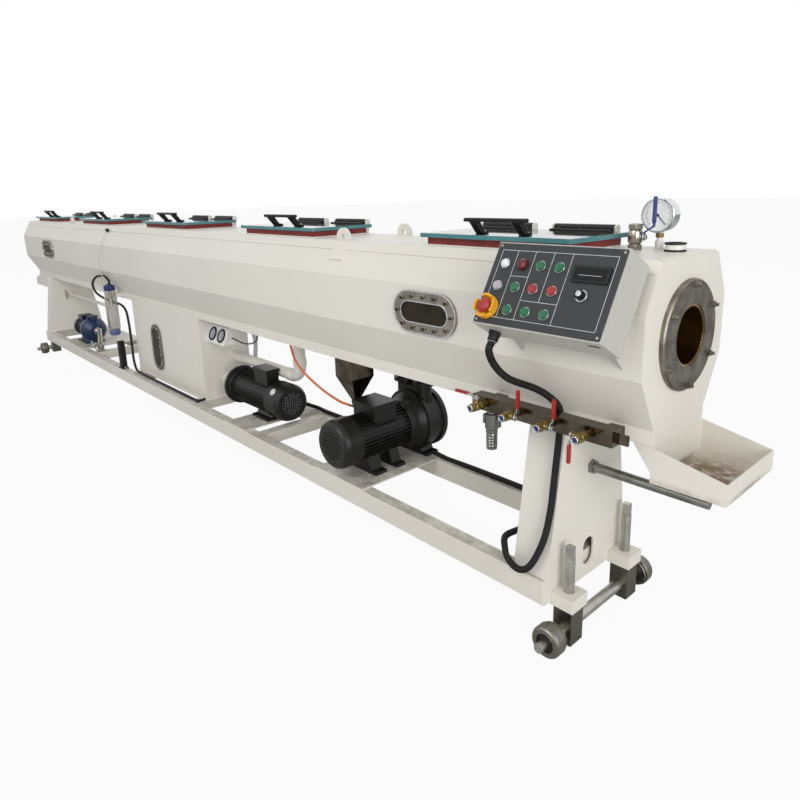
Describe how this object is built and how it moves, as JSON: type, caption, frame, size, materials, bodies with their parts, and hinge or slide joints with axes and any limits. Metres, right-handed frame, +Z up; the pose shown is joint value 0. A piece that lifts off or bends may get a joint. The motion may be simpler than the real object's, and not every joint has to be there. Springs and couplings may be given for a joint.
{
  "type": "vacuum calibration tank of a plastic pipe extrusion line",
  "caption": "Long eight-sided vacuum sizing tank on a wheeled frame, with glass lids, a control desk, a valve manifold and pumps underneath, for cooling extruded plastic pipe.",
  "frame": {"origin": "on the floor, under the middle of the bounding box", "axes": "+X along the tank towards the pipe entry, -Y towards the operator's side, +Z up"},
  "size_m": [6.212, 0.7288, 1.336],
  "materials": {
    "paint": "off-white enamel",
    "steel": "bright steel",
    "stainless": "brushed stainless",
    "rubber_red": "dark red rubber",
    "glass": "greenish float glass",
    "dark_glass": "dark sight glass",
    "black_metal": "black paint",
    "panel": "dark grey film",
    "grey_box": "light grey paint",
    "brass": "machined brass",
    "red": "red dipped vinyl",
    "blue_grip": "blue dipped vinyl",
    "chrome": "polished",
    "galvanised": "galvanised",
    "blue_paint": "blue enamel",
    "clear_plastic": "clear plastic",
    "white_plastic": "white pipe",
    "orange": "orange rubber hose",
    "clear_tube": "milky flexible tube",
    "black_plastic": "black ribbed plastic"
  },
  "bodies": {
    "machine": {"tank_bottom": "paint", "lower_front_plate": "paint", "lower_back_plate": "paint", "front_wall": "paint", "back_wall": "paint", "upper_front_plate": "paint", "upper_back_plate": "paint", "tank_top": "paint", "entry_end": "paint", "exit_end": "paint", "lid_seals": "rubber_red", "window_frames": "stainless", "window_glass": "dark_glass", "tank_rails": "paint", "near_leg": "paint", "far_leg": "paint", "front_rail": "paint", "rear_rail": "paint", "cross_members": "paint", "machine_plates": "paint", "control_desk": "grey_box", "control_panel": "panel", "water_manifold": "stainless", "manifold_valves": "brass", "top_fittings": "stainless", "vacuum_gauge": "chrome", "entry_disc": "steel", "brass_sleeve": "brass", "drip_tray": "paint", "drain_rod": "galvanised", "water_box": "paint", "water_pump": "black_metal", "vacuum_pump": "black_metal", "blue_pump": "blue_paint", "water_filter": "clear_plastic", "separator": "stainless", "pipework": "white_plastic", "hoses": "black_plastic", "level_glass": "stainless", "socket_box": "white_plastic", "orange_hose": "orange", "clear_tubes": "clear_tube"},
    "lid_1": {"lid_1": "glass"},
    "lid_2": {"lid_2": "glass"},
    "lid_3": {"lid_3": "glass"},
    "lid_4": {"lid_4": "glass"},
    "lid_5": {"lid_5": "glass"},
    "near_axle": {"near_axle": "steel"},
    "wheel_near_front": {"wheel_near_front": "steel"},
    "wheel_near_back": {"wheel_near_back": "steel"},
    "far_axle": {"far_axle": "steel"},
    "wheel_far_front": {"wheel_far_front": "steel"},
    "wheel_far_back": {"wheel_far_back": "steel"},
    "lever_1": {"lever_1": "red"},
    "lever_2": {"lever_2": "red"},
    "lever_3": {"lever_3": "red"},
    "lever_4": {"lever_4": "red"},
    "top_lever": {"top_lever": "blue_grip"}
  },
  "joints": [
    {"name": "lid_1_hinge", "type": "hinge", "parent": "machine", "child": "lid_1", "pos_m": [-2.522, 0.20943, 1.238], "axis": [-1, 0, 0], "range_deg": [0, 85]},
    {"name": "lid_2_hinge", "type": "hinge", "parent": "machine", "child": "lid_2", "pos_m": [-1.302, 0.20943, 1.238], "axis": [-1, 0, 0], "range_deg": [0, 85]},
    {"name": "lid_3_hinge", "type": "hinge", "parent": "machine", "child": "lid_3", "pos_m": [-0.082, 0.20943, 1.238], "axis": [-1, 0, 0], "range_deg": [0, 85]},
    {"name": "lid_4_hinge", "type": "hinge", "parent": "machine", "child": "lid_4", "pos_m": [1.138, 0.20943, 1.238], "axis": [-1, 0, 0], "range_deg": [0, 85]},
    {"name": "lid_5_hinge", "type": "hinge", "parent": "machine", "child": "lid_5", "pos_m": [2.358, 0.20943, 1.238], "axis": [-1, 0, 0], "range_deg": [0, 85]},
    {"name": "near_jack", "type": "slide", "parent": "machine", "child": "near_axle", "axis": [0, 0, -1], "range_m": [0, 0.05]},
    {"name": "wheel_near_front_spin", "type": "hinge", "parent": "near_axle", "child": "wheel_near_front", "pos_m": [2.684, -0.21357, 0.05], "axis": [0, 1, 0], "continuous": true},
    {"name": "wheel_near_back_spin", "type": "hinge", "parent": "near_axle", "child": "wheel_near_back", "pos_m": [2.684, 0.30643, 0.05], "axis": [0, 1, 0], "continuous": true},
    {"name": "far_jack", "type": "slide", "parent": "machine", "child": "far_axle", "axis": [0, 0, -1], "range_m": [0, 0.05]},
    {"name": "wheel_far_front_spin", "type": "hinge", "parent": "far_axle", "child": "wheel_far_front", "pos_m": [-2.868, -0.21357, 0.05], "axis": [0, 1, 0], "continuous": true},
    {"name": "wheel_far_back_spin", "type": "hinge", "parent": "far_axle", "child": "wheel_far_back", "pos_m": [-2.868, 0.30643, 0.05], "axis": [0, 1, 0], "continuous": true},
    {"name": "lever_1_turn", "type": "hinge", "parent": "machine", "child": "lever_1", "pos_m": [2.415, -0.23827, 0.73], "axis": [0, 0, 1], "range_deg": [0, 90]},
    {"name": "lever_2_turn", "type": "hinge", "parent": "machine", "child": "lever_2", "pos_m": [2.536, -0.23827, 0.73], "axis": [1, 0, 0], "range_deg": [0, 90]},
    {"name": "lever_3_turn", "type": "hinge", "parent": "machine", "child": "lever_3", "pos_m": [2.657, -0.23827, 0.73], "axis": [1, 0, 0], "range_deg": [0, 90]},
    {"name": "lever_4_turn", "type": "hinge", "parent": "machine", "child": "lever_4", "pos_m": [2.778, -0.23827, 0.73], "axis": [-1, 0, 0], "range_deg": [0, 90]},
    {"name": "top_lever_turn", "type": "hinge", "parent": "machine", "child": "top_lever", "pos_m": [2.719, 0.09643, 1.224], "axis": [1, 0, 0], "range_deg": [0, 90]}
  ]
}
